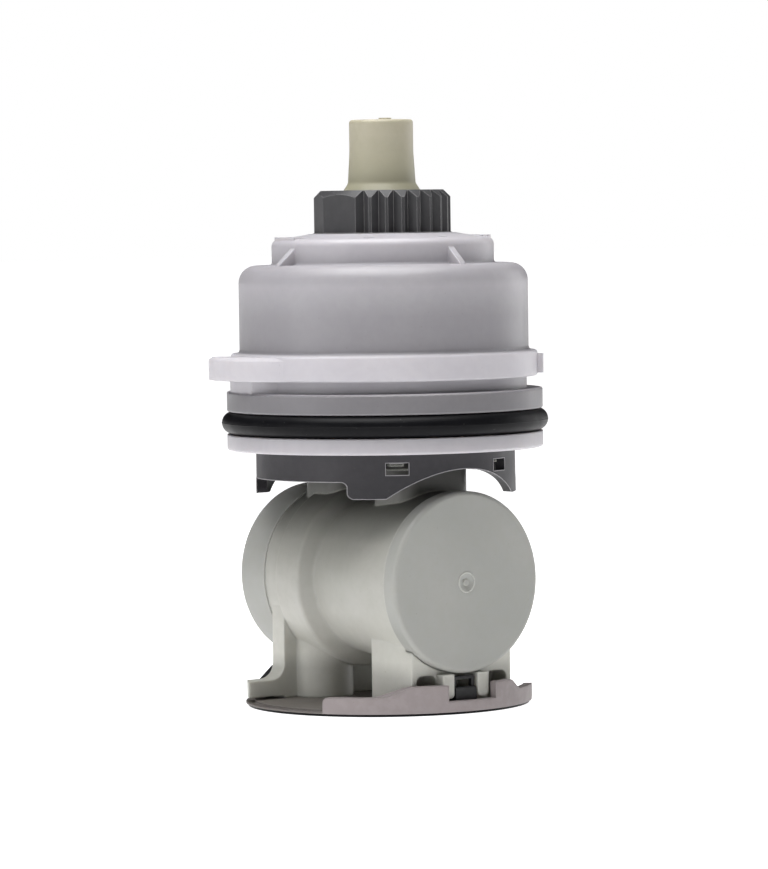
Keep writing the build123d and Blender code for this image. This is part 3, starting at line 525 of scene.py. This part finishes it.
def makeBodyRing(look):
    # the big O-ring, with the thin moulding seam round its outside
    low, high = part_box("body_o_ring")
    section = (high[2] - low[2]) / 2
    radius = (high[0] - low[0]) / 2 - section
    sizes = {"Ring Radius": radius, "Section": section, "Level": (high[2] + low[2]) / 2,
             "Seam": look["seam"], "Seam Bead": look["seamBead"],
             "Steps": look["steps"], "Section Steps": look["sectionSteps"]}
    maker = Maker("bodyRing", sizes)
    given = maker.given
    ring = maker.ring(given["Ring Radius"], given["Section"], given["Steps"], given["Section Steps"])
    edge = maker.sums("ADD", given["Ring Radius"], given["Section"])
    edge = maker.sums("SUBTRACT", maker.sums("ADD", edge, given["Seam"]), given["Seam Bead"])
    seam = maker.ring(edge, given["Seam Bead"], given["Steps"])
    whole = maker.raised(maker.join(ring, seam), given["Level"])
    made = maker.piece(whole, finishes["sealRubber"], "cartridge_body")
    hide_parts("body_o_ring")


flashLook = {
    # a moulding flash bead on the collar, coloured pale as a painted edge highlight
    "collarFlashHighlight": {
        "node": "lower_collar", "slot": "collar_dark", "finish": "flashHighlightPlastic",
        "crease": 1.0, "bead": 0.00007, "reach": 0.0002, "lowest": -0.001, "highest": 0.0388,
    },
    "baseFlash": {
        "node": "base_plate", "slot": "base_grey", "finish": "baseFlashPlastic",
        "crease": 1.0, "bead": 0.00004, "reach": 0.0016, "lowest": 0.0012, "highest": 0.02,
    },
}


weldGap = 0.000002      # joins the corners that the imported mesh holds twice


def makeFlash(name, look):
    # moulding flash: a fine bead along the sharp outer edges of one moulding
    low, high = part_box(look["node"])
    least = (high[0] - low[0]) / 2 - look["reach"]
    sizes = {"Crease": look["crease"], "Bead": look["bead"], "Least Radius": least,
             "Lowest": look["lowest"], "Highest": look["highest"]}
    maker = Maker(name, sizes)
    given = maker.given
    whole = {"Geometry": given["Geometry"], "Distance": weldGap}
    merged = maker.add("GeometryNodeMergeByDistance", whole).outputs[0]
    bend = maker.add("GeometryNodeInputMeshEdgeAngle").outputs["Unsigned Angle"]
    place = maker.add("GeometryNodeInputPosition").outputs[0]
    split = maker.add("ShaderNodeSeparateXYZ", {0: place}).outputs
    across = maker.sums("SQRT", maker.sums("ADD", maker.sums("MULTIPLY", split[0], split[0]),
                                           maker.sums("MULTIPLY", split[1], split[1])))
    chosen = maker.both(maker.above(bend, given["Crease"]), maker.above(across, given["Least Radius"]))
    chosen = maker.both(chosen, maker.above(split[2], given["Lowest"]))
    chosen = maker.both(chosen, maker.above(given["Highest"], split[2]))
    lines = maker.add("GeometryNodeMeshToCurve", {"Mesh": merged, "Selection": chosen}).outputs[0]
    section = maker.add("GeometryNodeCurvePrimitiveCircle", {"Resolution": 6, "Radius": given["Bead"]})
    beads = maker.sweep(lines, section.outputs["Curve"])
    maker.piece(beads, finishes[look["finish"]], "cartridge_body", nodes[look["node"]].data)


ridgeLook = {"count": 4, "first": 0.0213, "step": 0.00034, "bead": 0.00005, "level": 0.00066, "steps": 180}


def makeBaseRidges(look):
    # fine moulded rings on the rim of the base, outside the wall
    sizes = {"Count": look["count"], "First Radius": look["first"], "Step": look["step"],
             "Bead": look["bead"], "Level": look["level"]}
    maker = Maker("baseRidges", sizes)
    given = maker.given
    line = maker.add("GeometryNodeMeshLine", {"Count": given["Count"], "Offset": (0.0, 0.0, 0.0)}).outputs[0]
    order = maker.add("GeometryNodeInputIndex").outputs[0]
    radius = maker.sums("ADD", given["First Radius"], maker.sums("MULTIPLY", order, given["Step"]))
    around = {"Resolution": look["steps"], "Radius": 1.0}
    circle = maker.add("GeometryNodeCurvePrimitiveCircle", around).outputs["Curve"]
    size = maker.add("ShaderNodeCombineXYZ", {"X": radius, "Y": radius, "Z": 1.0}).outputs[0]
    copies = {"Points": line, "Instance": circle, "Scale": size}
    rings = maker.add("GeometryNodeInstanceOnPoints", copies).outputs[0]
    rings = maker.add("GeometryNodeRealizeInstances", {"Geometry": rings}).outputs[0]
    section = maker.add("GeometryNodeCurvePrimitiveCircle", {"Resolution": 6, "Radius": given["Bead"]})
    beads = maker.raised(maker.sweep(rings, section.outputs["Curve"]), given["Level"])
    maker.piece(beads, finishes["baseFlashPlastic"], "cartridge_body")


pinLook = {"count": 8, "circle": 0.0150, "radius": 0.0009, "bead": 0.00007, "level": 0.0731}


def makePinMarks(look):
    # the rings that ejector pins leave on the bonnet's step
    sizes = {"Count": look["count"], "Circle": look["circle"], "Mark Radius": look["radius"],
             "Bead": look["bead"], "Level": look["level"]}
    maker = Maker("bonnetPinMarks", sizes)
    given = maker.given
    around = {"Vertices": given["Count"], "Radius": given["Circle"]}
    spots = maker.add("GeometryNodeMeshCircle", around).outputs[0]
    mark = maker.ring(given["Mark Radius"], given["Bead"], 40)
    marks = maker.add("GeometryNodeInstanceOnPoints", {"Points": spots, "Instance": mark}).outputs[0]
    whole = maker.raised(marks, given["Level"])
    maker.piece(whole, finishes["bonnetPlastic"], "cartridge_body")


gateLook = {"radius": 0.0015, "bead": 0.00014, "level": 0.020}


def makeGateRims(look):
    # a raised rim round the gate dimple of each cap
    low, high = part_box("near_end_cap")[0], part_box("far_end_cap")[1]
    for name, face in (("nearGateRim", low[1]), ("farGateRim", high[1])):
        maker = Maker(name, {"Rim Radius": look["radius"], "Bead": look["bead"]})
        rim = maker.ring(maker.given["Rim Radius"], maker.given["Bead"], 48, 10)
        whole = maker.moved(rim, (0.0, face, look["level"]), (math.radians(90.0), 0.0, 0.0))
        maker.piece(whole, finishes["capPlastic"], "cartridge_body")


makeBodyRing(bodyRingLook)
for name, look in flashLook.items():
    makeFlash(name, look)
makeBaseRidges(ridgeLook)
makePinMarks(pinLook)
makeGateRims(gateLook)
print("moulding details made")
